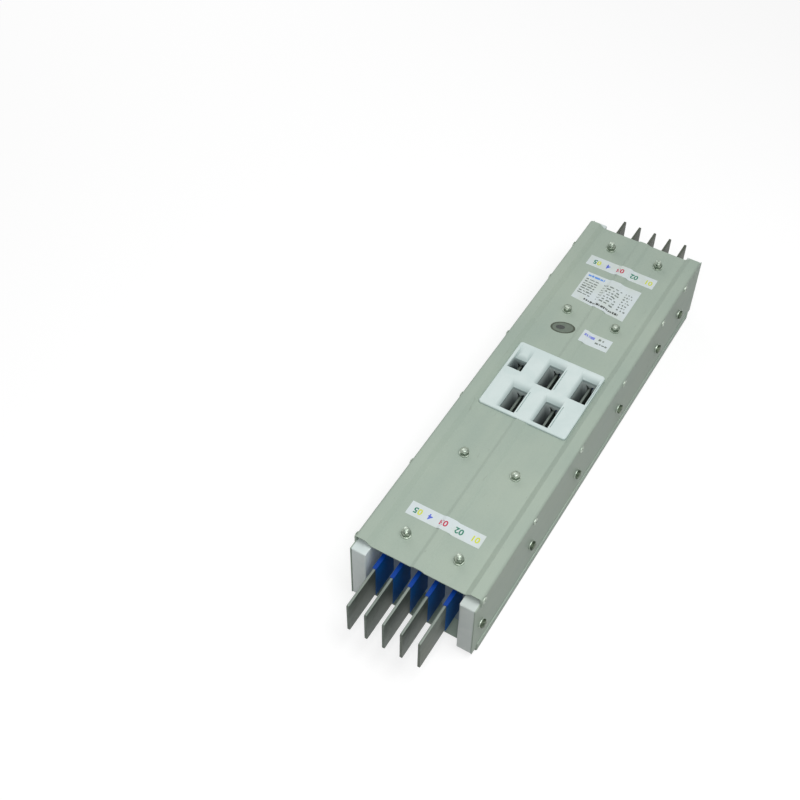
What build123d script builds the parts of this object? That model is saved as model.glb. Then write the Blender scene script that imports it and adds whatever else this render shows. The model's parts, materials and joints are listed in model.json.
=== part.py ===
"""Plug-in busway section: five flat busbars on edge in a pressed sheet-steel housing.

Millimetres, +Z up, +Y along the run from the near joint to the far joint. The origin is under the
middle of the whole length, bar ends included, at the level of the two rails that the section rests on.
"""
import os

from build123d import *

os.makedirs("parts", exist_ok=True)

# Housing sheet metal
housing_width = 160.0  # over the cover flanges
housing_height = 109.0  # base rails to top rails
cover_length = 600.0
sheet = 1.2
rail_width = 14.0  # flat top of each raised rail
rail_rise = 5.2  # rails stand this far above the panel
rail_slope = 7.0  # width of the sloped step from panel to rail
rail_corner = 4.0  # outer bend radius between rail and flange
fold_radius = 1.6  # outer bend radius of the other folds
flange_depth = 15.0
bead_width = 18.0
bead_crown = 10.0
bead_rise = 2.0

# Busbars and their sleeves
bar_pitch = 22.3
bar_thickness = 3.0
bar_height = 50.0
bar_depth = 13.3  # bar top below the panel's outer face
bar_reach_near = 71.0  # bar ends past the near edge of the covers
bar_reach_far = 43.0
bar_corner = 2.5
sleeve_wall = 0.9
sleeve_reach_near = 16.0
sleeve_reach_far = 6.0
sleeve_setback = 6.0  # sleeve ends clear of its socket opening

# End blocks and spacer blocks
block_width = 18.6
block_gap = 3.1  # from the blocks to the panels above and below
block_reach = 11.5  # blocks and side plates stand past the covers
block_screw_inset = 17.0  # screw axis from one end of an end block
block_bevel = 1.0
spacer_length = 30.0

# Bus supports
support_length = 24.0
end_support_station = 33.0  # from the nearer end of the covers
mid_support_station = 165.0
slot_clearance = 0.2
support_side_clearance = 0.1
foot_width = 44.0
foot_height = 22.0
foot_corner = 6.0

# Plug-in window
window_station = 298.5
window_width = 116.0
window_length = 113.0
window_corner = 4.0
window_rise = 3.2  # stands above the panel
window_edge = 1.0
window_gap = 0.3
lip_side = 8.0
lip_end = 3.0
socket_width = 20.5
socket_length = 36.5
earth_socket_width = 17.0
earth_socket_length = 20.0
row_near_station = 267.5
row_far_station = 322.0
earth_station = 319.0
funnel_depth = 3.5
funnel_left = 4.5
funnel_far = 10.0
funnel_near = 2.5
rib_width = 1.6  # rib on the right of a phase socket
groove_width = 1.2  # beyond the rib
groove_depth = 2.0
groove_rim = 1.2  # from the last groove to the window's edge
earth_funnel_side = 1.0
earth_ramp = 24.0
hump_slope = 9.0  # sloped near end of the hump on the earth ramp
shroud_wall = 1.5
shroud_depth = 38.0
notch_half = 3.4
prong_half = 5.6
prong_height = 5.0
notch_tip = 1.4  # notch peak above the bar top

# Fasteners
bolt_radius = 3.0  # cover bolts and side screws
hole_clearance = 0.3
thread_clearance = 0.05
hexagon_width = 10.0  # nuts and hexagonal heads, across flats
head_height = 4.0
nut_height = 5.0
washer_radius = 6.2
washer_thickness = 1.6
stud_end_long = 5.5  # bolt end past its nut at the two end supports
stud_end_short = 0.6
flange_screw_drop = 6.7  # axis of the upper side row below the top rails
flange_screw_radius = 2.5
flange_screw_head = 4.5
flange_screw_head_height = 1.8
flange_screw_length = 9.0
side_screw_length = 16.0
side_pitch = 118.5
side_last_station = 49.0  # from the far end of the covers

# Places worked out from the sizes above
cover_start = (bar_reach_near - bar_reach_far - cover_length) / 2
cover_end = cover_start + cover_length
cover_middle = (cover_start + cover_end) / 2
half_width = housing_width / 2
rail_inner = half_width - rail_width
panel_half = rail_inner - rail_slope
panel_top = housing_height - rail_rise
panel_under = panel_top - sheet
base_panel = rail_rise + sheet
plate_outer = half_width - sheet
plate_inner = plate_outer - sheet
plate_bottom = rail_corner
plate_top = housing_height - rail_corner
block_inner = plate_inner - block_width
block_bottom = base_panel + block_gap
block_top = panel_under - block_gap
block_length = side_last_station + block_reach + block_screw_inset
bar_top = panel_top - bar_depth
bar_bottom = bar_top - bar_height
bar_middle = (bar_top + bar_bottom) / 2
sleeve_half = bar_thickness / 2 + sleeve_wall
slot_half = sleeve_half + slot_clearance
bolt_x = 1.5 * bar_pitch
flange_screw_z = housing_height - flange_screw_drop
side_screw_z = housing_height / 2
window_top = panel_top + window_rise
window_y = cover_start + window_station
near_row_y = cover_start + row_near_station
far_row_y = cover_start + row_far_station
earth_y = cover_start + earth_station
near_block_y = cover_start - block_reach
far_block_y = cover_end + block_reach - block_length

support_places = [
    cover_start + end_support_station,
    cover_start + mid_support_station,
    cover_end - mid_support_station,
    cover_end - end_support_station,
]
side_first_y = near_block_y + block_screw_inset
side_steps = int((far_block_y - spacer_length / 2 - side_first_y) // side_pitch)
spacer_places = [side_first_y + i * side_pitch for i in range(1, side_steps + 1)]
side_places = [side_first_y, *spacer_places, cover_end - side_last_station]
bolt_spots = [(side * bolt_x, y) for y in support_places for side in (-1, 1)]

# Each pole: place across the run, socket middle along it, socket width and length
poles = {
    "pe": (-2 * bar_pitch, earth_y, earth_socket_width, earth_socket_length),
    "n": (-bar_pitch, near_row_y, socket_width, socket_length),
    "l3": (0.0, far_row_y, socket_width, socket_length),
    "l2": (bar_pitch, near_row_y, socket_width, socket_length),
    "l1": (2 * bar_pitch, far_row_y, socket_width, socket_length),
}


def save(part, name):
    """Label one finished piece and write its STEP file."""
    part.label = name
    export_step(part, f"parts/{name}.step")


def across(y):
    """Plane across the run at y, looking back towards the near end."""
    return Plane.XZ.offset(-y)


def cover(rails, inward, inside):
    """One cover: rails is the height of its rail faces, inward the direction to the bars."""
    half_outline = [
        (half_width, flange_depth),
        (half_width, 0.0),
        (rail_inner, 0.0),
        (panel_half, rail_rise),
        (bead_width / 2, rail_rise),
        (bead_crown / 2, rail_rise - bead_rise),
    ]
    left = [(-x, rails + inward * depth) for x, depth in half_outline]
    right = [(x, rails + inward * depth) for x, depth in reversed(half_outline)]
    folds = [rail_corner] + [fold_radius] * (len(half_outline) - 2)
    with BuildPart() as pressing:
        with BuildSketch(across(cover_end)):
            with BuildLine():
                FilletPolyline(*left, *right, radius=folds + folds[::-1])
                offset(amount=sheet, side=inside)
            make_face()
        extrude(amount=cover_length)
        with BuildSketch():
            with Locations(*bolt_spots):
                Circle(bolt_radius + hole_clearance)
        extrude(amount=housing_height, mode=Mode.SUBTRACT)
    return pressing.part


# Covers and side plates
with BuildPart() as top_cover:
    add(cover(housing_height, -1, Side.RIGHT))
    with BuildSketch(Plane.XY.offset(base_panel)):
        with Locations((0, window_y)):
            RectangleRounded(window_width + 2 * window_gap, window_length + 2 * window_gap, window_corner)
    extrude(amount=housing_height, mode=Mode.SUBTRACT)
    for side in (-1, 1):
        with BuildSketch(Plane.YZ.offset(side * half_width)):
            with Locations(*[(y, flange_screw_z) for y in side_places]):
                Circle(flange_screw_radius + hole_clearance)
        extrude(amount=-side * flange_screw_length, mode=Mode.SUBTRACT)
save(top_cover.part, "top_cover")

save(cover(0.0, 1, Side.LEFT), "base_cover")

for name, side in (("side_plate_left", -1), ("side_plate_right", 1)):
    with BuildPart() as side_plate:
        with BuildSketch(Plane.YZ.offset(side * (plate_inner + plate_outer) / 2)):
            with Locations((cover_middle, (plate_bottom + plate_top) / 2)):
                Rectangle(cover_length, plate_top - plate_bottom)
            with Locations((cover_middle, (block_bottom + block_top) / 2)):
                Rectangle(cover_length + 2 * block_reach, block_top - block_bottom)
            with Locations(*[(y, flange_screw_z) for y in side_places]):
                Circle(flange_screw_radius + hole_clearance, mode=Mode.SUBTRACT)
            with Locations(*[(y, side_screw_z) for y in side_places]):
                Circle(bolt_radius + hole_clearance, mode=Mode.SUBTRACT)
        extrude(amount=sheet / 2, both=True)
    save(side_plate.part, name)


def block(side, start, length, screw_y):
    """White block between a side plate and the bars, from start along the run."""
    with BuildPart() as blank:
        with BuildSketch(Plane.XY.offset(block_bottom)):
            with Locations((side * (block_inner + plate_inner) / 2, start + length / 2)):
                Rectangle(block_width, length)
        extrude(amount=block_top - block_bottom)
        ends = blank.faces().filter_by(Axis.Y)
        chamfer(ends.edges(), block_bevel)
        with BuildSketch(Plane.YZ.offset(side * plate_inner)):
            with Locations((screw_y, side_screw_z)):
                Circle(bolt_radius + thread_clearance)
        extrude(amount=-side * side_screw_length, mode=Mode.SUBTRACT)
    return blank.part


for name, side, start in (
    ("end_block_near_left", -1, near_block_y),
    ("end_block_near_right", 1, near_block_y),
    ("end_block_far_left", -1, far_block_y),
    ("end_block_far_right", 1, far_block_y),
):
    save(block(side, start, block_length, start + block_screw_inset), name)

for name, side in (("spacer_blocks_left", -1), ("spacer_blocks_right", 1)):
    spacers = [block(side, y - spacer_length / 2, spacer_length, y) for y in spacer_places]
    save(Compound(children=spacers), name)

# Busbars and sleeves
bar_near = cover_start - bar_reach_near
bar_far = cover_end + bar_reach_far

for pole, (x, socket_y, width, length) in poles.items():
    with BuildPart() as busbar:
        with BuildSketch(Plane.YZ.offset(x)):
            with Locations(((bar_near + bar_far) / 2, bar_middle)):
                RectangleRounded(bar_far - bar_near, bar_height, bar_corner)
        extrude(amount=bar_thickness / 2, both=True)
    save(busbar.part, f"busbar_{pole}")

    bare_half = length / 2 + sleeve_setback
    stretches = (
        (cover_start - sleeve_reach_near, socket_y - bare_half),
        (socket_y + bare_half, cover_end + sleeve_reach_far),
    )
    pieces = []
    for start, end in stretches:
        with BuildPart() as stretch:
            with BuildSketch(across(end)):
                with Locations((x, bar_middle)):
                    Rectangle(2 * sleeve_half, bar_height + 2 * sleeve_wall)
                    Rectangle(bar_thickness, bar_height, mode=Mode.SUBTRACT)
            extrude(amount=end - start)
        pieces.append(stretch.part)
    save(Compound(children=pieces), f"sleeve_{pole}")

# Bus supports: the bars stand in slots of the lower halves, and the upper halves cap them
support_half = block_inner - support_side_clearance
slot_top = bar_top + sleeve_wall + slot_clearance
slot_bottom = bar_bottom - sleeve_wall - slot_clearance


def bus_support(y, bottom, top, foot):
    """Half of a support at y; foot opens the arch under a lower half."""
    with BuildPart() as half:
        with BuildSketch(across(y)):
            with Locations((0, (bottom + top) / 2)):
                Rectangle(2 * support_half, top - bottom)
            with Locations(*[(x, (slot_bottom + slot_top) / 2) for x, _, _, _ in poles.values()]):
                Rectangle(2 * slot_half, slot_top - slot_bottom, mode=Mode.SUBTRACT)
            if foot:
                with Locations((0, bottom)):
                    RectangleRounded(foot_width, 2 * foot_height, foot_corner, mode=Mode.SUBTRACT)
        extrude(amount=support_length / 2, both=True)
        with BuildSketch(Plane.XY.offset(bottom)):
            with Locations((-bolt_x, y), (bolt_x, y)):
                Circle(bolt_radius + hole_clearance)
        extrude(amount=top - bottom, mode=Mode.SUBTRACT)
    return half.part


for number, y in enumerate(support_places, start=1):
    save(bus_support(y, base_panel, bar_middle, True), f"lower_support_{number}")
    save(bus_support(y, bar_middle, panel_under, False), f"upper_support_{number}")


# Plug-in window
funnel_bottom = window_top - funnel_depth
ramp_start = earth_y + earth_socket_length / 2
ramp_end = ramp_start + earth_ramp
earth_x = poles["pe"][0]

with BuildPart() as hump:
    with BuildSketch(across(ramp_start)):
        with BuildLine():
            arc = ThreePointArc(
                (earth_x - earth_socket_width / 2, funnel_bottom),
                (earth_x, window_top),
                (earth_x + earth_socket_width / 2, funnel_bottom),
            )
            Line(arc @ 1, arc @ 0)
        make_face()
    extrude(amount=-earth_ramp)
    with BuildSketch(Plane.YZ.offset(earth_x)):
        with BuildLine():
            Polyline(
                (ramp_start, funnel_bottom),
                (ramp_end, funnel_bottom),
                (ramp_end, window_top),
                (ramp_start + hump_slope, window_top),
                close=True,
            )
        make_face()
    extrude(amount=earth_socket_width, both=True, mode=Mode.INTERSECT)

with BuildPart() as window_plate:
    with BuildSketch(Plane.XY.offset(block_top)):
        with Locations((0, window_y)):
            RectangleRounded(window_width + 2 * lip_side, window_length + 2 * lip_end, window_corner)
    extrude(amount=panel_under - block_top)
    with BuildSketch(Plane.XY.offset(panel_under)):
        with Locations((0, window_y)):
            RectangleRounded(window_width, window_length, window_corner)
    extrude(amount=window_top - panel_under)
    crown = window_plate.faces().sort_by(Axis.Z)[-1]
    chamfer(crown.edges(), window_edge)
    for pole, (x, y, width, length) in poles.items():
        earth = pole == "pe"
        left = x - width / 2 - (earth_funnel_side if earth else funnel_left)
        right = x + width / 2 + (earth_funnel_side if earth else 0)
        near = y - length / 2 - (0 if earth else funnel_near)
        far = y + length / 2 + (earth_ramp if earth else funnel_far)
        with BuildSketch(Plane.XY.offset(funnel_bottom)):
            with Locations((x, y)):
                Rectangle(width, length)
        with BuildSketch(Plane.XY.offset(window_top)):
            with Locations(((left + right) / 2, (near + far) / 2)):
                Rectangle(right - left, far - near)
        loft(mode=Mode.SUBTRACT)
        if earth:
            add(hump.part)
        else:
            room = window_width / 2 - groove_rim - groove_width - right
            groove_x = right + min(rib_width, room) + groove_width / 2
            with BuildSketch(Plane.XY.offset(window_top - groove_depth)):
                with Locations((groove_x, y)):
                    Rectangle(groove_width, length)
            extrude(amount=groove_depth, mode=Mode.SUBTRACT)
        with BuildSketch(Plane.XY.offset(block_top)):
            with Locations((x, y)):
                Rectangle(width, length)
        extrude(amount=window_top - block_top, mode=Mode.SUBTRACT)
save(window_plate.part, "window_plate")

for pole, (x, y, width, length) in poles.items():
    shroud_bottom = block_top - shroud_depth
    prong_top = bar_top + prong_height
    notch_side = [
        (notch_half, shroud_bottom),
        (notch_half, bar_top),
        (prong_half, prong_top),
        (notch_half, prong_top),
    ]
    notch = [(x + dx, z) for dx, z in notch_side]
    notch.append((x, bar_top + notch_tip))
    notch += [(x - dx, z) for dx, z in reversed(notch_side)]
    with BuildPart() as shroud:
        with BuildSketch(Plane.XY.offset(shroud_bottom)):
            with Locations((x, y)):
                Rectangle(width + 2 * shroud_wall, length + 2 * shroud_wall)
                Rectangle(width, length, mode=Mode.SUBTRACT)
        extrude(amount=shroud_depth)
        with BuildSketch(across(y)):
            with BuildLine():
                Polyline(*notch, close=True)
            make_face()
        extrude(amount=length, both=True, mode=Mode.SUBTRACT)
    save(shroud.part, f"shroud_{pole}")


# Fasteners
thread_radius = bolt_radius + thread_clearance


def hexagon(plane, height, bore=0):
    """Hexagonal nut, or a screw head where bore is zero, standing on a plane."""
    with BuildPart() as prism:
        with BuildSketch(plane):
            RegularPolygon(hexagon_width / 2, 6, major_radius=False)
            if bore:
                Circle(bore, mode=Mode.SUBTRACT)
        extrude(amount=height)
    return prism.part


def washer(plane):
    """Flat washer lying on a plane."""
    with BuildPart() as ring:
        with BuildSketch(plane):
            Circle(washer_radius)
            Circle(thread_radius, mode=Mode.SUBTRACT)
        extrude(amount=washer_thickness)
    return ring.part


nut_seat = panel_top + washer_thickness
bolts = []
nuts = []
washers = []
for x, y in bolt_spots:
    at_end = y in (support_places[0], support_places[-1])
    bolt_end = nut_seat + nut_height + (stud_end_long if at_end else stud_end_short)
    with BuildPart() as bolt:
        add(hexagon(Plane((x, y, rail_rise - head_height)), head_height))
        with BuildSketch(Plane((x, y, rail_rise))):
            Circle(bolt_radius)
        extrude(amount=bolt_end - rail_rise)
    bolts.append(bolt.part)
    nuts.append(hexagon(Plane((x, y, nut_seat)), nut_height, thread_radius))
    washers.append(washer(Plane((x, y, panel_top))))
save(Compound(children=bolts), "cover_bolts")
save(Compound(children=nuts), "cover_nuts")
save(Compound(children=washers), "cover_washers")


def outward(side, y, z, face):
    """Plane on a side wall at distance face from the middle, its normal pointing away from the housing."""
    return Plane(origin=(side * face, y, z), x_dir=(0, 1, 0), z_dir=(side, 0, 0))


flange_screws = []
side_screws = []
side_washers = []
for side in (-1, 1):
    for y in side_places:
        with BuildPart() as flange_screw:
            with BuildSketch(outward(side, y, flange_screw_z, half_width)):
                Circle(flange_screw_head)
            extrude(amount=flange_screw_head_height)
            with BuildSketch(outward(side, y, flange_screw_z, half_width)):
                Circle(flange_screw_radius)
            extrude(amount=-flange_screw_length)
        flange_screws.append(flange_screw.part)

        head_seat = plate_outer + washer_thickness
        with BuildPart() as side_screw:
            add(hexagon(outward(side, y, side_screw_z, head_seat), head_height))
            with BuildSketch(outward(side, y, side_screw_z, head_seat)):
                Circle(bolt_radius)
            extrude(amount=-side_screw_length)
        side_screws.append(side_screw.part)
        side_washers.append(washer(outward(side, y, side_screw_z, plate_outer)))
save(Compound(children=flange_screws), "flange_screws")
save(Compound(children=side_screws), "side_screws")
save(Compound(children=side_washers), "side_washers")
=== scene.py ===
"""Busway section: finishes, fasteners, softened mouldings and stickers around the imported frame.

Metres, +Z up, +Y along the run from the near joint to the far joint. Places come from the frame's nodes.
"""
import json
import math
import random

import bpy
from mathutils import Matrix, Vector

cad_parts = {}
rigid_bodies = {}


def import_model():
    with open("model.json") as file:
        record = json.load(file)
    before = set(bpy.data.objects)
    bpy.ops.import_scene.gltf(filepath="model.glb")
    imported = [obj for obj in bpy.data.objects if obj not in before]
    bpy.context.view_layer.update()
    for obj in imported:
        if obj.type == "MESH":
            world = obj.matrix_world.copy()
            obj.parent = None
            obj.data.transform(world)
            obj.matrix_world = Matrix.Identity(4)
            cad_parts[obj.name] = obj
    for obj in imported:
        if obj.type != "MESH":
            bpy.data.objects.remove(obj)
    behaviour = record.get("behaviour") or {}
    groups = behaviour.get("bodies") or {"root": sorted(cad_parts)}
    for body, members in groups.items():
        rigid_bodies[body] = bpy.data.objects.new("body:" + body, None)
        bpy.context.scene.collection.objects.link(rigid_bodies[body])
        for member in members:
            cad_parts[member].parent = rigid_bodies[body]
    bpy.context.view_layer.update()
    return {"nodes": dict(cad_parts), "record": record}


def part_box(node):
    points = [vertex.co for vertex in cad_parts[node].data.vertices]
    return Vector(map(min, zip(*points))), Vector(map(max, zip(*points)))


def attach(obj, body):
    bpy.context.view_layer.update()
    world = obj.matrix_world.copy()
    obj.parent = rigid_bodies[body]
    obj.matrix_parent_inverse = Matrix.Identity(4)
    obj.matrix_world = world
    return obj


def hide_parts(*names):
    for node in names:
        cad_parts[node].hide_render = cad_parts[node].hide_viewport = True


MM = 0.001
BODY = "root"
POLES = ("pe", "n", "l3", "l2", "l1")

# Camera: the photograph's place, turn and lens
CAMERA_PLACE = (361.9 * MM, -937.5 * MM, 1279.4 * MM)
CAMERA_TURN = (39.94, -0.35, 31.02)  # degrees about X, Y, Z
CAMERA_LENS = 57.4
CAMERA_SENSOR = 36.0

# Places along Y over which the bars darken towards their far ends
BAR_DARK_END = (280 * MM, 330 * MM)

# Heights over which the painted highlights on the bars' top edges and on the sleeves' tops begin
BAR_TOP = (89.9 * MM, 90.4 * MM)
SLEEVE_TOP = (88 * MM, 91 * MM)

# Heights over which the painted shade in the window's hollows fades out, and the shrouds turn from painted
# shade to pale
WINDOW_SHADE_FADE = (103.8 * MM, 106.9 * MM)
SHROUD_PALE = (78 * MM, 106 * MM)

# Sizes of the fasteners
NUT_FLATS = 10 * MM
NUT_CHAMFER = 0.9 * MM
HEAD_HEIGHT = 4 * MM
HEAD_CHAMFER = 0.8 * MM
SIDE_HEAD_CHAMFER = 1.5 * MM
SIDE_HEAD_CROWN = 0.68  # flat top of a side head, as a share of its flats
BOLT_RADIUS = 3 * MM
SHANK_RADIUS = BOLT_RADIUS * 0.985
WASHER_BORE = BOLT_RADIUS * 1.02
THREAD_PITCH = 1 * MM
THREAD_LENGTH = 24 * MM
THREAD_DEPTH = 0.45 * MM
PAN_WALL = 0.3  # upright edge of a pan head, as a share of its height
DOME_STEPS = 7
RECESS_WIDTH = 1 * MM
RECESS_DEPTH = 1.3 * MM
CUTTER_EXCESS = 1 * MM  # how far a cutter reaches past what it cuts

# Degrees by which each fastener is turned on from the one before
NUT_TURN = 90
NUT_STRAY = 17
BOLT_TURN = 11
PAN_TURN = 23
SIDE_HEAD_TURN = 31
SIDE_HEAD_START = 12

# Widths of the softened edges
BLOCK_EDGE = 0.7 * MM
BAR_EDGE = 0.4 * MM
SHROUD_EDGE = 0.25 * MM
WINDOW_EDGE = 0.3 * MM

# Stickers: edges across the run (X) and stations from the near edge of the cover
STRIP_NEAR = (-50 * MM, 44 * MM, 58 * MM, 77 * MM)
STRIP_FAR = (-51 * MM, 44 * MM, 525.5 * MM, 544.5 * MM)
RATING_LABEL = (-41 * MM, 35 * MM, 453 * MM, 513 * MM)
RATING_SLANT = 8 * MM  # its left edge is shorter than its right
SMALL_LABEL = (1 * MM, 40 * MM, 394 * MM, 415 * MM)
STICKER_THICKNESS = 0.15 * MM
STICKER_LIFT = 0.02 * MM
INK_LIFT = STICKER_THICKNESS + 0.03 * MM
INK_THICKNESS = 0.02 * MM
CELL_ACROSS = 1.5 * MM  # faces of a sticker, narrow enough to follow the bead
CELL_ALONG = 4 * MM

# The bead that the stickers cross
BEAD_RISE = 2 * MM
BEAD_CROWN = 5.5 * MM  # half width of the bead's flat top
BEAD_FOOT = 11 * MM  # half width over which a sticker leaves the panel to cross the bead

# Numbers on the phase strips: place across the run in millimetres, text and ink
MARKS = (
    (-41.0, "5", "green"),
    (-35.5, "0", "yellow"),
    (-22.5, "4", "blue"),
    (-5.5, "03", "red"),
    (14.5, "02", "green"),
    (35.0, "01", "yellow"),
)
DIGIT_HEIGHT = 8 * MM
DIGIT_SWELL = 0.3 * MM  # makes the strokes bold
FONT_SHARE = 1.35  # size of the font over the height of its digits

# Print on the labels, as rows of dashes. All values are in millimetres: how far a row is from the far
# edge, where it starts and ends from the left edge, its height, its longest dash and its gap.
RATING_COLUMNS = (
    (3, 21, 2.2, 7, 1.4),
    (29, 55, 2.2, 6, 2.6),
    (60, 73, 2.4, 3, 2.4),
)
RATING_PRINT = (
    ("heading", "pale_blue", [(6, 3, 26, 4.6, 9, 0.8)]),
    ("rows", "grey", [(14 + 5.2 * line, *column) for line in range(7) for column in RATING_COLUMNS]),
    ("foot", "black", [(54, 16, 66, 3.4, 4, 0.8)]),
)
RATING_SEED = 4
SMALL_PRINT = (
    ("heading", "violet", [(7, 3, 18, 4.4, 8, 0.6)]),
    ("rows", "grey", [(6, 22, 36, 3.6, 4, 3), (13, 20, 36, 2.4, 6, 1)]),
)
SMALL_SEED = 9

# Oval seal
SEAL_PLACE = (-25 * MM, 405 * MM)
SEAL_SIZE = (31.5 * MM, 19.5 * MM)
SEAL_TURN = 20  # degrees, stuck on a little askew
SPOT_SHIFT = -0.2  # of half the seal's length

# Studio
FLOOR_SIZE = 14
FLOOR_BOUNCE = 0.3  # share of the light that the floor throws back at the object
FLOOR_TONE = 0.4  # the floor as the camera sees it: this colour in the light
FLOOR_GLOW = 0.7  # and this glow, which lifts it to plain white
FLOOR_FADE = (0.9, 2.4)  # metres from the middle over which the floor fades into the white surroundings
SKY_LIGHT = 0.3  # surroundings as a light

# Lamps: name, place, point that it is aimed at, size and power
LAMPS = (
    ("overhead", (0.5, -0.22, 1.5), (0, -0.12, 0.1), 0.85, 10.5),
    ("back_left", (-1.3, 0.9, 1.1), (0, 0, 0.05), 1.0, 4.8),
    ("front_high", (0.45, -1.2, 1.6), (0, -0.1, 0.1), 0.5, 9),
)

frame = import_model()
slots = {row["node"]: row["material_slot"] for row in frame["record"]["subparts"]}
near_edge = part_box("top_cover")[0].y


# Shader building

class Value:
    """A socket's value in a formula. Each operator adds the Math node that it stands for."""

    def __init__(self, nodes, socket):
        self.nodes = nodes
        self.socket = socket

    def _with(self, operation, first, second):
        return self.nodes.node("ShaderNodeMath", {"operation": operation}, {0: first, 1: second})

    def __add__(self, other):
        return self._with("ADD", self, other)

    __radd__ = __add__

    def __sub__(self, other):
        return self._with("SUBTRACT", self, other)

    def __rsub__(self, other):
        return self._with("SUBTRACT", other, self)

    def __mul__(self, other):
        return self._with("MULTIPLY", self, other)

    __rmul__ = __mul__


class Nodes:
    """The shader nodes of a material or of the world."""

    def __init__(self, owner):
        owner.use_nodes = True
        self.owner = owner
        self.tree = owner.node_tree
        self.tree.nodes.clear()

    def node(self, kind, settings, sockets, output=0):
        """Add a node: its settings first, then the values or links of its sockets."""
        made = self.tree.nodes.new(kind)
        for key, value in settings.items():
            setattr(made, key, value)
        for key, value in sockets.items():
            if isinstance(value, Value):
                self.tree.links.new(value.socket, made.inputs[key])
            elif isinstance(value, tuple) and made.inputs[key].type == "RGBA":
                made.inputs[key].default_value = (*value, 1.0)
            else:
                made.inputs[key].default_value = value
        return Value(self, made.outputs[output]) if made.outputs else made

    def seen(self):
        """1 for a ray from the camera, straight, mirrored or through glass, and 0 for other light."""
        kinds = ("Is Camera Ray", "Is Glossy Ray", "Is Transmission Ray")
        straight, mirrored, through = [self.node("ShaderNodeLightPath", {}, {}, kind) for kind in kinds]
        return straight + mirrored + through


class Finish(Nodes):
    """One material and the nodes that make it."""

    def __init__(self, name):
        super().__init__(bpy.data.materials.new(name))
        self.place = self.node("ShaderNodeTexCoord", {}, {}, "Object")

    def stretched(self, scale):
        """Object coordinates with a scale of its own on each axis."""
        return self.node("ShaderNodeMapping", {}, {"Vector": self.place, "Scale": scale})

    def noise(self, scale, detail=3.0, where=None, distortion=0.0):
        """Noise from about 0 to 1, features of about 1/scale metres."""
        return self.node("ShaderNodeTexNoise", {}, {
            "Vector": where or self.place,
            "Scale": scale,
            "Detail": detail,
            "Distortion": distortion,
        })

    def band(self, value, low, high):
        """0 below low, 1 above high, smooth between."""
        sockets = {"Value": value, "From Min": low, "From Max": high}
        return self.node("ShaderNodeMapRange", {"interpolation_type": "SMOOTHSTEP"}, sockets)

    def blend(self, factor, first, second):
        """Colour first where the factor is 0, second where it is 1."""
        return self.node("ShaderNodeMix", {"data_type": "RGBA"}, {0: factor, 6: first, 7: second}, 2)

    def axis(self, number):
        """One Object coordinate, in metres: 0 for X, 1 for Y, 2 for Z."""
        return self.node("ShaderNodeSeparateXYZ", {}, {0: self.place}, number)

    def bump(self, height, distance):
        """Normal of a surface raised by height times distance."""
        return self.node("ShaderNodeBump", {}, {"Distance": distance, "Height": height})

    def surface(self, **sockets):
        """Close the material with a Principled shader. Underscores in the names stand for spaces."""
        named = {key.replace("_", " "): value for key, value in sockets.items()}
        shader = self.node("ShaderNodeBsdfPrincipled", {}, named)
        self.node("ShaderNodeOutputMaterial", {}, {"Surface": shader})
        return self.owner


def srgb(red, green, blue):
    """Linear colour of a screen colour from 0 to 255."""
    return tuple(
        value / 255 / 12.92 if value <= 10 else ((value / 255 + 0.055) / 1.055) ** 2.4
        for value in (red, green, blue)
    )


def grey(level):
    """Linear grey."""
    return (level, level, level)


# Finishes

def painted_sheet():
    """Grey-green coated sheet: cloudy tone, faint rolling streaks, small scuffs, soft sheen."""
    finish = Finish("painted_sheet")
    clouds = finish.noise(9.0, 4.0)
    streaks = finish.noise(60.0, where=finish.stretched((1.0, 0.06, 1.0)))
    speckle = finish.noise(900.0, 2.0)
    scuffs = finish.band(finish.noise(220.0, 5.0, finish.stretched((1.0, 0.3, 1.0)), 1.2), 0.66, 0.74)
    tone = finish.band(clouds * 0.7 + streaks * 0.3, 0.3, 0.7)
    base = finish.blend(tone, srgb(160, 176, 164), srgb(171, 185, 171))
    wear_and_painted_highlight = finish.blend(scuffs * 0.35, base, srgb(138, 148, 136))
    grain = finish.blend(finish.band(speckle, 0.35, 0.65) * 0.12, wear_and_painted_highlight, srgb(190, 200, 190))
    return finish.surface(
        Base_Color=grain,
        Roughness=0.42 + clouds * 0.16 + scuffs * 0.1,
        Specular_IOR_Level=0.2,
        Normal=finish.bump(speckle * 0.3 + streaks * 0.7, 0.05 * MM),
    )


def white_moulding(name, dull, bright, hollow_shade=None):
    """Cool white moulding, a little glossy, with faint flow marks. It can carry painted shade in the
    window's hollows.
    """
    finish = Finish(name)
    flow = finish.noise(35.0, distortion=0.8)
    skin = finish.noise(1500.0, 1.0)
    base = finish.blend(finish.band(flow, 0.35, 0.7), dull, bright)
    if hollow_shade:
        # painted shade: darker in the window's hollows, below its top
        clean = finish.band(finish.axis(2), *WINDOW_SHADE_FADE)
        base = finish.blend((1.0 - clean) * 0.8, base, hollow_shade)
    return finish.surface(
        Base_Color=base,
        Roughness=0.34 + flow * 0.12,
        Normal=finish.bump(skin, 0.015 * MM),
        Coat_Weight=0.12,
    )


def shroud_moulding(name, deep, high):
    """The white moulding below the window, with painted shade: greyer with depth."""
    finish = Finish(name)
    flow = finish.noise(50.0)
    depth = finish.band(finish.axis(2) + flow * 4 * MM, *SHROUD_PALE)
    return finish.surface(Base_Color=finish.blend(depth, deep, high), Roughness=0.45 + flow * 0.1)


def support_moulding():
    """Grey matt moulding of the bus supports."""
    finish = Finish("support_moulding")
    flow = finish.noise(60.0)
    base = finish.blend(flow, srgb(132, 148, 162), srgb(148, 162, 176))
    return finish.surface(Base_Color=base, Roughness=0.5 + flow * 0.15, Normal=finish.bump(flow, 0.1 * MM))


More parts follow.
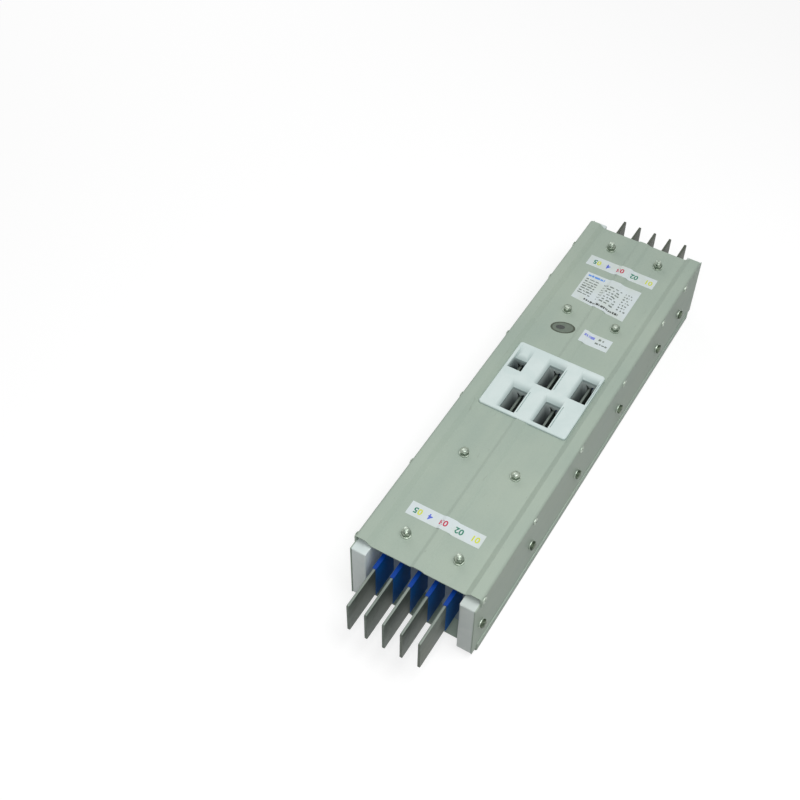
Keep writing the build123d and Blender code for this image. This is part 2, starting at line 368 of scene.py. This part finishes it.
def bar_metal():
    """Dull rolled bar metal: long streaks, darker blotches, a streaked painted highlight along the top
    edges, browner far ends.
    """
    finish = Finish("bar_metal")
    rolled = finish.noise(260.0, where=finish.stretched((1.0, 0.05, 1.0)))
    blotch = finish.noise(45.0, 4.0, distortion=0.6)
    cloud = finish.noise(16.0)
    base = finish.blend(finish.band(blotch, 0.35, 0.68), srgb(74, 85, 78), srgb(100, 110, 102))
    clouded = finish.blend(finish.band(cloud, 0.45, 0.7) * 0.5, base, srgb(80, 82, 68))
    streaked = finish.blend(finish.band(rolled, 0.45, 0.75) * 0.25, clouded, srgb(116, 122, 112))
    # painted highlight: the bars' top edges lighter, streaked
    wear_and_painted_highlight = finish.blend(finish.band(finish.axis(2), *BAR_TOP) * rolled, streaked, srgb(142, 152, 145))
    aged = finish.blend(finish.band(finish.axis(1), *BAR_DARK_END) * 0.75, wear_and_painted_highlight, srgb(66, 70, 56))
    return finish.surface(
        Base_Color=aged,
        Metallic=0.5,
        Roughness=0.42 + blotch * 0.2,
        Normal=finish.bump(rolled, 0.04 * MM),
    )


def sleeve_blue():
    """Shrunk blue insulating sleeve: satin, with faint draw lines along the bar."""
    finish = Finish("sleeve_blue")
    drawn = finish.noise(300.0, 2.0, finish.stretched((1.0, 0.08, 1.0)))
    tone = finish.noise(30.0)
    base = finish.blend(finish.band(tone, 0.3, 0.7), srgb(2, 73, 132), srgb(3, 86, 158))
    lit = finish.blend(finish.band(finish.axis(2), *SLEEVE_TOP), base, srgb(2, 62, 150))
    return finish.surface(
        Base_Color=lit,
        Roughness=0.4 + tone * 0.12,
        Specular_IOR_Level=0.25,
        Normal=finish.bump(drawn, 0.06 * MM),
    )


def zinc_steel(name, dull, bright):
    """Zinc plate with a faint green tint, dull and bright in patches."""
    finish = Finish(name)
    tint = finish.noise(260.0)
    fine = finish.noise(2500.0, 2.0)
    return finish.surface(
        Base_Color=finish.blend(finish.band(tint, 0.38, 0.62), dull, bright),
        Metallic=1.0,
        Roughness=0.32 + fine * 0.16,
        Normal=finish.bump(fine, 0.01 * MM),
    )


def sticker_paper():
    """Coated white label stock, slightly yellowed in patches."""
    finish = Finish("sticker_paper")
    patch = finish.noise(50.0)
    base = finish.blend(finish.band(patch, 0.4, 0.75), srgb(212, 222, 224), srgb(206, 216, 210))
    return finish.surface(Base_Color=base, Roughness=0.4 + patch * 0.1, Normal=finish.bump(patch, 0.2 * MM))


def seal_foil(name, dull, bright):
    """Dull grey foil of the oval seal."""
    finish = Finish(name)
    patch = finish.noise(220.0)
    base = finish.blend(patch, dull, bright)
    return finish.surface(Base_Color=base, Metallic=0.5, Roughness=0.35 + patch * 0.2)


def ink(name, color):
    """Printing ink, slightly uneven in density."""
    finish = Finish(name)
    density = finish.noise(900.0)
    pale = tuple(0.85 * part + 0.15 for part in color)
    base = finish.blend(finish.band(density, 0.45, 0.8) * 0.5, color, pale)
    return finish.surface(Base_Color=base, Roughness=0.45 + density * 0.1)


finishes = {
    "painted_sheet": painted_sheet(),
    "white_moulding": white_moulding("white_moulding", srgb(214, 226, 224), srgb(222, 231, 229)),
    "support_moulding": support_moulding(),
    "bar_metal": bar_metal(),
    "sleeve_blue": sleeve_blue(),
    "zinc_steel": zinc_steel("zinc_steel", srgb(112, 124, 112), srgb(148, 158, 144)),
}
# painted highlight and painted shade: a lighter copy of the zinc for the washers, bolts and pan heads, and
# a darker copy for the side heads
painted_bright_zinc = zinc_steel("zinc_bright", srgb(146, 158, 146), srgb(178, 188, 176))
painted_dark_zinc = zinc_steel("zinc_dark", srgb(74, 86, 72), srgb(112, 124, 106))
# painted shade for the window's hollows
window_hollow_shade = srgb(158, 175, 173)
window_finish = white_moulding("window_moulding", srgb(207, 222, 220), srgb(214, 227, 225), window_hollow_shade)
# painted shade in the sockets: the shrouds greyer with depth, the earth socket's darker still
shroud_finish = shroud_moulding("shroud_moulding", srgb(112, 122, 122), srgb(196, 206, 204))
earth_shroud_finish = shroud_moulding("earth_shroud_moulding", srgb(46, 58, 62), srgb(150, 162, 162))
# painted shade: a darker, greyer copy of the white moulding, for the right end blocks
painted_shade_blocks = white_moulding("white_moulding_dull", srgb(198, 208, 204), srgb(208, 216, 212))
paper = sticker_paper()
foil = seal_foil("seal_foil", srgb(62, 72, 60), srgb(86, 94, 80))
field_foil = seal_foil("seal_foil_field", srgb(92, 104, 94), srgb(116, 126, 114))
inks = {
    "green": ink("ink_green", srgb(30, 120, 96)),
    "yellow": ink("ink_yellow", srgb(206, 214, 60)),
    "blue": ink("ink_blue", srgb(84, 104, 206)),
    "pale_blue": ink("ink_pale_blue", srgb(92, 146, 222)),
    "violet": ink("ink_violet", srgb(128, 138, 214)),
    "red": ink("ink_red", srgb(188, 46, 74)),
    "grey": ink("ink_grey", srgb(112, 122, 116)),
    "black": ink("ink_black", srgb(50, 56, 52)),
}


def paint(piece, material):
    """Give a piece one material in place of what it has."""
    piece.data.materials.clear()
    piece.data.materials.append(material)


for node_name, node_object in frame["nodes"].items():
    paint(node_object, finishes[slots[node_name]])


# Modelling helpers

def only(piece):
    """Make one piece the selected and active object."""
    bpy.ops.object.select_all(action="DESELECT")
    piece.select_set(True)
    bpy.context.view_layer.objects.active = piece


def settled(piece):
    """Fix a piece's place, turn and scale in its mesh."""
    only(piece)
    bpy.ops.object.transform_apply(location=True, rotation=True, scale=True)
    return piece


def applied(piece, kind, **settings):
    """Add a modifier to a piece and apply it."""
    only(piece)
    modifier = piece.modifiers.new(kind, kind)
    for key, value in settings.items():
        setattr(modifier, key, value)
    bpy.ops.object.modifier_apply(modifier=modifier.name)


def cut(piece, cutter, operation="DIFFERENCE"):
    """Boolean of a piece with a cutter, which is used up."""
    applied(piece, "BOOLEAN", object=cutter, operation=operation, solver="EXACT")
    bpy.data.objects.remove(cutter)


def cleaned(piece, reach=0.002 * MM):
    """Join points nearer to each other than reach, and take out faces and edges with no size."""
    only(piece)
    bpy.ops.object.mode_set(mode="EDIT")
    bpy.ops.mesh.select_all(action="SELECT")
    bpy.ops.mesh.remove_doubles(threshold=reach)
    bpy.ops.mesh.dissolve_degenerate(threshold=reach)
    bpy.ops.object.mode_set(mode="OBJECT")
    return piece


def smoothed(piece, angle=35):
    """Smooth shading with sharp creases kept."""
    only(piece)
    bpy.ops.object.shade_smooth_by_angle(angle=math.radians(angle))
    return piece


def joined(parts):
    """Several objects as one."""
    bpy.ops.object.select_all(action="DESELECT")
    for part in parts:
        part.select_set(True)
    bpy.context.view_layer.objects.active = parts[0]
    bpy.ops.object.join()
    return bpy.context.active_object


def copied(pattern, places):
    """One piece made of copies of a pattern, each with a mesh of its own, at the given places."""
    copies = []
    for place in places:
        copy = pattern.copy()
        copy.data = pattern.data.copy()
        bpy.context.collection.objects.link(copy)
        copy.matrix_world = place
        copies.append(settled(copy))
    bpy.data.objects.remove(pattern)
    return joined(copies)


def turned(steps, sides=32):
    """Solid built up from a disc by extruding and scaling it: steps are (height, radius) pairs."""
    (height, radius), *others = steps
    bpy.ops.object.select_all(action="DESELECT")
    bpy.ops.mesh.primitive_circle_add(
        vertices=sides, radius=radius, fill_type="NGON", location=(0, 0, height))
    bpy.ops.object.mode_set(mode="EDIT")
    for next_height, next_radius in others:
        rise = (0, 0, next_height - height)
        bpy.ops.mesh.extrude_region_move(TRANSFORM_OT_translate={"value": rise})
        if next_radius != radius:
            scale = next_radius / radius
            bpy.ops.transform.resize(value=(scale, scale, 1), center_override=(0, 0, next_height))
        height, radius = next_height, next_radius
    bpy.ops.mesh.select_all(action="SELECT")
    bpy.ops.mesh.normals_make_consistent(inside=False)
    bpy.ops.object.mode_set(mode="OBJECT")
    return settled(bpy.context.active_object)


def kept(piece, name, material, node=None):
    """Name a finished piece and let it ride on the body. It may stand for a node, which is then hidden."""
    settled(piece)
    piece.name = name
    paint(piece, material)
    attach(piece, BODY)
    if node:
        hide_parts(node)


def merged_copy(node):
    """Free copy of a node with its loose triangles joined into clean faces."""
    only(frame["nodes"][node])
    bpy.ops.object.duplicate()
    copy = bpy.context.active_object
    bpy.ops.object.parent_clear(type="CLEAR_KEEP_TRANSFORM")
    for key in [key for key in copy.keys() if key.startswith("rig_")]:
        del copy[key]
    bpy.ops.object.mode_set(mode="EDIT")
    bpy.ops.mesh.select_all(action="SELECT")
    bpy.ops.mesh.remove_doubles(threshold=0.005 * MM)
    bpy.ops.mesh.dissolve_limited(angle_limit=math.radians(1))
    bpy.ops.object.mode_set(mode="OBJECT")
    return copy


def solid_boxes(node):
    """Lowest and highest corner of each separate solid of a node, near ones first."""
    merged_copy(node)
    bpy.ops.object.mode_set(mode="EDIT")
    bpy.ops.mesh.select_all(action="SELECT")
    bpy.ops.mesh.separate(type="LOOSE")
    bpy.ops.object.mode_set(mode="OBJECT")
    boxes = []
    for piece in bpy.context.selected_objects:
        points = [vertex.co for vertex in piece.data.vertices]
        low = Vector(min(point[i] for point in points) for i in range(3))
        high = Vector(max(point[i] for point in points) for i in range(3))
        boxes.append((low, high))
    bpy.ops.object.delete()
    return sorted(boxes, key=lambda box: (round(box[0].y, 4), box[0].x))


def standing(low, high, turn=0):
    """Place over the middle of an upright solid, at the height of its foot."""
    foot = Matrix.Translation(((low.x + high.x) / 2, (low.y + high.y) / 2, low.z))
    return foot @ Matrix.Rotation(math.radians(turn), 4, "Z")


def sideways(low, high, inner, turn=0):
    """Place on a side wall over a solid's middle, facing outwards, starting inner from the middle plane."""
    side = 1 if (low.x + high.x) > 0 else -1
    middle = Vector((side * inner, (low.y + high.y) / 2, (low.z + high.z) / 2))
    facing = Matrix.Rotation(side * math.pi / 2, 4, "Y")
    return Matrix.Translation(middle) @ facing @ Matrix.Rotation(math.radians(turn), 4, "Z")


# Fasteners
washer_boxes = solid_boxes("cover_washers")
washer_low, washer_high = washer_boxes[0]
washer_radius = (washer_high.y - washer_low.y) / 2
washer_thickness = washer_high.z - washer_low.z
panel_top = washer_low.z


def hexagon(height, chamfer, both_ends=False, crown=0.97):
    """Hexagonal prism on the XY plane with its corners turned off at the top, or at both ends."""
    corner = NUT_FLATS / 2 / math.cos(math.radians(30))
    prism = turned([(0, corner), (height, corner)], 6)
    foot = [(-CUTTER_EXCESS, corner * 1.2)]
    if both_ends:
        foot = [(0, NUT_FLATS / 2), (chamfer, corner * 1.02)]
    head = [(height - chamfer, corner * 1.02), (height, NUT_FLATS / 2 * crown)]
    cut(prism, turned(foot + head, 48), "INTERSECT")
    return smoothed(cleaned(prism, 0.05 * MM))


def threaded(start, end):
    """Plain shank from start, threaded over its last stretch to end, with a chamfered tip."""
    height = end - THREAD_LENGTH
    steps = [(start, SHANK_RADIUS), (height, SHANK_RADIUS)]
    while height + THREAD_PITCH < end - THREAD_DEPTH:
        steps += [
            (height + THREAD_PITCH * 0.2, SHANK_RADIUS),
            (height + THREAD_PITCH * 0.5, SHANK_RADIUS - THREAD_DEPTH),
            (height + THREAD_PITCH * 0.8, SHANK_RADIUS),
            (height + THREAD_PITCH, SHANK_RADIUS),
        ]
        height += THREAD_PITCH
    steps += [(end - THREAD_DEPTH, SHANK_RADIUS), (end, SHANK_RADIUS - THREAD_DEPTH * 1.3)]
    return smoothed(turned(steps, 24), 50)


def pressed_washer():
    """Washer with one edge rolled over."""
    roll = washer_thickness * 0.35
    disc = turned([
        (0, washer_radius - roll / 2),
        (roll / 2, washer_radius),
        (washer_thickness - roll, washer_radius),
        (washer_thickness - roll * 0.3, washer_radius - roll * 0.3),
        (washer_thickness, washer_radius - roll),
    ], 48)
    cut(disc, turned([(-CUTTER_EXCESS, WASHER_BORE), (washer_thickness + CUTTER_EXCESS, WASHER_BORE)]))
    return smoothed(disc, 40)


def cover_nuts():
    """Chamfered nuts on the cover's bolts."""
    boxes = solid_boxes("cover_nuts")
    height = boxes[0][1].z - boxes[0][0].z
    nut = hexagon(height, NUT_CHAMFER, both_ends=True)
    cut(nut, turned([(-CUTTER_EXCESS, BOLT_RADIUS), (height + CUTTER_EXCESS, BOLT_RADIUS)]))
    places = [standing(*box, NUT_TURN * i + NUT_STRAY * (i % 3)) for i, box in enumerate(boxes)]
    kept(copied(smoothed(cleaned(nut)), places), "nuts_chamfered", finishes["zinc_steel"], "cover_nuts")


def cover_washers():
    """Washers under the nuts."""
    places = [standing(*box) for box in washer_boxes]
    kept(copied(pressed_washer(), places), "washers_pressed", painted_bright_zinc, "cover_washers")


def cover_bolts():
    """Bolts with hexagonal heads below the base cover and threads above the top cover."""
    bolts = []
    for i, (low, high) in enumerate(solid_boxes("cover_bolts")):
        head = hexagon(HEAD_HEIGHT, HEAD_CHAMFER)
        head.matrix_world = Matrix.Translation((0, 0, HEAD_HEIGHT)) @ Matrix.Rotation(math.pi, 4, "X")
        settled(head)
        shank = threaded(HEAD_HEIGHT, high.z - low.z)
        bolts.append(copied(joined([head, shank]), [standing(low, high, BOLT_TURN * i)]))
    kept(joined(bolts), "bolts_threaded", painted_bright_zinc, "cover_bolts")


def flange_screws():
    """Upper side row: pan heads with a crossed recess."""
    boxes = solid_boxes("flange_screws")
    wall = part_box("top_cover")[1].x
    radius = (boxes[0][1].z - boxes[0][0].z) / 2
    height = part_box("flange_screws")[1].x - wall
    dome = [(0, radius), (height * PAN_WALL, radius)]
    for step in range(1, DOME_STEPS):
        angle = math.radians(90) * step / DOME_STEPS
        share = PAN_WALL + (1 - PAN_WALL) * math.sin(angle)
        dome.append((height * share, radius * math.cos(angle) ** 0.6))
    pan = turned(dome)
    for turn in (0, 90):
        bpy.ops.object.select_all(action="DESELECT")
        bpy.ops.mesh.primitive_cube_add(size=1, location=(0, 0, height))
        recess = bpy.context.active_object
        recess.scale = (radius * 1.1, RECESS_WIDTH, RECESS_DEPTH * 2)
        recess.rotation_euler.z = math.radians(turn)
        cut(pan, settled(recess))
    places = [sideways(*box, wall, PAN_TURN * i) for i, box in enumerate(boxes)]
    kept(copied(smoothed(pan, 40), places), "pan_screws", painted_bright_zinc, "flange_screws")


def side_screws():
    """Lower side row: hexagonal heads on washers."""
    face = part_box("side_plate_right")[1].x
    places = [sideways(*box, face) for box in solid_boxes("side_washers")]
    kept(copied(pressed_washer(), places), "side_washers_pressed", painted_bright_zinc, "side_washers")
    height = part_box("side_screws")[1].x - face - washer_thickness
    places = [sideways(*box, face + washer_thickness, SIDE_HEAD_TURN * i + SIDE_HEAD_START)
              for i, box in enumerate(solid_boxes("side_screws"))]
    head = hexagon(height, SIDE_HEAD_CHAMFER, crown=SIDE_HEAD_CROWN)
    kept(copied(head, places), "side_screw_heads", painted_dark_zinc, "side_screws")


cover_nuts()
cover_washers()
cover_bolts()
flange_screws()
side_screws()


# Softened mouldings and bars

def softened(node, edge, segments=3, material=None):
    """The node with its sharp edges rounded, standing for it."""
    piece = merged_copy(node)
    applied(piece, "BEVEL", width=edge, segments=segments,
            limit_method="ANGLE", angle_limit=math.radians(30))
    kept(smoothed(cleaned(piece)), f"{node}_finished", material or finishes[slots[node]], node)


for end in ("near", "far"):
    softened(f"end_block_{end}_left", BLOCK_EDGE)
    # the right end blocks get the painted shade copy of the moulding
    softened(f"end_block_{end}_right", BLOCK_EDGE, material=painted_shade_blocks)
for pole in POLES:
    softened(f"busbar_{pole}", BAR_EDGE, 2)
    softened(f"shroud_{pole}", SHROUD_EDGE, 2, earth_shroud_finish if pole == "pe" else shroud_finish)
softened("window_plate", WINDOW_EDGE, material=window_finish)


# Stickers

def bead_rise(x):
    """How far a sticker at x stands above the panel, where it crosses the bead."""
    share = min(max((BEAD_FOOT - abs(x)) / (BEAD_FOOT - BEAD_CROWN), 0.0), 1.0)
    return BEAD_RISE * (1 - math.cos(math.pi * share)) / 2


def laid(piece, lift):
    """Lift a flat piece's points to the panel and over the bead."""
    for vertex in piece.data.vertices:
        vertex.co.z += panel_top + lift + bead_rise(vertex.co.x)
    return piece


def sheet_patch(x0, x1, y0, y1, lift, thickness):
    """Thin patch of sticker or ink between the given edges, following the panel."""
    across = max(2, round((x1 - x0) / CELL_ACROSS))
    along = max(2, round((y1 - y0) / CELL_ALONG))
    bpy.ops.object.select_all(action="DESELECT")
    bpy.ops.mesh.primitive_grid_add(x_subdivisions=across, y_subdivisions=along, size=1,
                                    location=((x0 + x1) / 2, (y0 + y1) / 2, 0))
    piece = bpy.context.active_object
    piece.scale = (x1 - x0, y1 - y0, 1)
    laid(settled(piece), lift)
    applied(piece, "SOLIDIFY", thickness=thickness, offset=1.0)
    return piece


def digits(text, x, y):
    """Plain digits with their tops towards the near end."""
    bpy.ops.object.select_all(action="DESELECT")
    bpy.ops.object.text_add(location=(x, y, 0), rotation=(0, 0, math.pi))
    piece = bpy.context.active_object
    piece.data.body = text
    piece.data.size = DIGIT_HEIGHT * FONT_SHARE
    piece.data.align_x = "CENTER"
    piece.data.align_y = "CENTER"
    piece.data.offset = DIGIT_SWELL
    piece.data.extrude = INK_THICKNESS
    bpy.ops.object.convert(target="MESH")
    return cleaned(laid(settled(piece), INK_LIFT))


def dashes(x, y, end, height, longest, gap, draw):
    """Ink dashes of varied length from x to end, in place of a line of print."""
    parts = []
    while x < end - gap:
        stop = min(end, x + draw.uniform(0.3, 1.0) * longest)
        half = draw.uniform(0.35, 0.6) * height
        middle = y + draw.uniform(-0.3, 0.3) * MM
        parts.append(sheet_patch(x, stop, middle - half, middle + half, INK_LIFT, INK_THICKNESS))
        x = stop + gap * draw.uniform(0.6, 1.4)
    return parts


def slanted(piece, x0, x1, y0, y1, amount):
    """Draw the near edge of a label back by amount at its left end, and less and less to the right."""
    for vertex in piece.data.vertices:
        share = (x1 - vertex.co.x) / (x1 - x0) * (y1 - vertex.co.y) / (y1 - y0)
        vertex.co.y += amount * share
    return piece


def phase_strip(name, edges):
    """White strip across the panel with a row of plain coloured numbers."""
    x0, x1, start, end = edges
    y0, y1 = near_edge + start, near_edge + end
    kept(sheet_patch(x0, x1, y0, y1, STICKER_LIFT, STICKER_THICKNESS), name, paper)
    for number, (x, text, color) in enumerate(MARKS, 1):
        kept(digits(text, x * MM, (y0 + y1) / 2), f"{name}_mark_{number}", inks[color])


def label(name, edges, print_groups, seed, slant=0.0):
    """White label with rows of plain dashes, one piece for each group of rows."""
    x0, x1, start, end = edges
    y0, y1 = near_edge + start, near_edge + end
    outline = (x0, x1, y0, y1, slant)
    sheet = sheet_patch(x0, x1, y0, y1, STICKER_LIFT, STICKER_THICKNESS)
    kept(slanted(sheet, *outline), name, paper)
    draw = random.Random(seed)
    for part, color, rows in print_groups:
        printed = []
        for row in rows:
            down, left, right, height, longest, gap = [value * MM for value in row]
            printed += dashes(x0 + left, y1 - down, x0 + right, height, longest, gap, draw)
        kept(slanted(joined(printed), *outline), f"{name}_{part}", inks[color])


def oval_seal():
    """Foil seal: an oval disc with a paler raised field and a plain dark spot."""
    x, station = SEAL_PLACE
    place = Matrix.Translation((x, near_edge + station, panel_top + STICKER_LIFT))
    turn = Matrix.Rotation(math.radians(SEAL_TURN), 4, "Z")
    oval = place @ turn @ Matrix.Diagonal((SEAL_SIZE[0] / 2, SEAL_SIZE[1] / 2, 1, 1))
    disc = turned([(0, 1), (0.2 * MM, 1), (0.3 * MM, 0.97)], 48)
    kept(copied(disc, [oval]), "oval_seal", foil)
    field = turned([(0.25 * MM, 0.84), (0.4 * MM, 0.8)], 48)
    kept(copied(field, [oval]), "oval_seal_field", field_foil)
    spot = turned([(0.35 * MM, 0.38), (0.5 * MM, 0.36)])
    kept(copied(spot, [oval @ Matrix.Translation((SPOT_SHIFT, 0, 0))]), "oval_seal_spot", inks["black"])


phase_strip("phase_strip_near", STRIP_NEAR)
phase_strip("phase_strip_far", STRIP_FAR)
label("rating_label", RATING_LABEL, RATING_PRINT, RATING_SEED, RATING_SLANT)
label("small_label", SMALL_LABEL, SMALL_PRINT, SMALL_SEED)
oval_seal()


# Studio

def floor():
    """Large pale floor that shows as plain white to the camera and keeps the object's soft shadow."""
    bpy.ops.object.select_all(action="DESELECT")
    bpy.ops.mesh.primitive_plane_add(size=FLOOR_SIZE, location=(0, 0, 0))
    plane = bpy.context.active_object
    plane.name = "floor"
    finish = Finish("floor_pale")
    seen = finish.seen()
    reach = finish.node("ShaderNodeVectorMath", {"operation": "LENGTH"}, {0: finish.place}, 1)
    away = finish.band(reach, *FLOOR_FADE)
    tone = finish.blend(away, grey(FLOOR_TONE), grey(0.0))
    glow = finish.blend(away, grey(FLOOR_GLOW), grey(1.0))
    paint(plane, finish.surface(
        Base_Color=finish.blend(seen, grey(FLOOR_BOUNCE), tone),
        Emission_Color=finish.blend(seen, grey(0.0), glow),
        Emission_Strength=1.0,
        Roughness=0.9,
        Specular_IOR_Level=0.0,
    ))


def world():
    """Even surroundings: plain white where seen or mirrored, weaker as a light."""
    sky = Nodes(bpy.data.worlds.new("studio"))
    level = sky.node("ShaderNodeMapRange", {}, {"Value": sky.seen(), "To Min": SKY_LIGHT})
    light = sky.node("ShaderNodeBackground", {}, {"Color": grey(1.0), "Strength": level})
    sky.node("ShaderNodeOutputWorld", {}, {"Surface": light})
    bpy.context.scene.world = sky.owner


def lamp(name, place, aim, size, power):
    """Square area lamp at a place, aimed at a point."""
    data = bpy.data.lights.new(name, "AREA")
    data.size = size
    data.energy = power
    made = bpy.data.objects.new(name, data)
    bpy.context.collection.objects.link(made)
    made.location = place
    made.rotation_euler = (Vector(aim) - Vector(place)).to_track_quat("-Z", "Y").to_euler()


def camera():
    """Camera at the photograph's place and turn."""
    data = bpy.data.cameras.new("camera")
    data.lens = CAMERA_LENS
    data.sensor_width = CAMERA_SENSOR
    made = bpy.data.objects.new("camera", data)
    bpy.context.collection.objects.link(made)
    made.location = CAMERA_PLACE
    made.rotation_euler = [math.radians(angle) for angle in CAMERA_TURN]
    bpy.context.scene.camera = made


floor()
world()
for lamp_row in LAMPS:
    lamp(*lamp_row)
camera()
bpy.context.scene.view_settings.view_transform = "Standard"
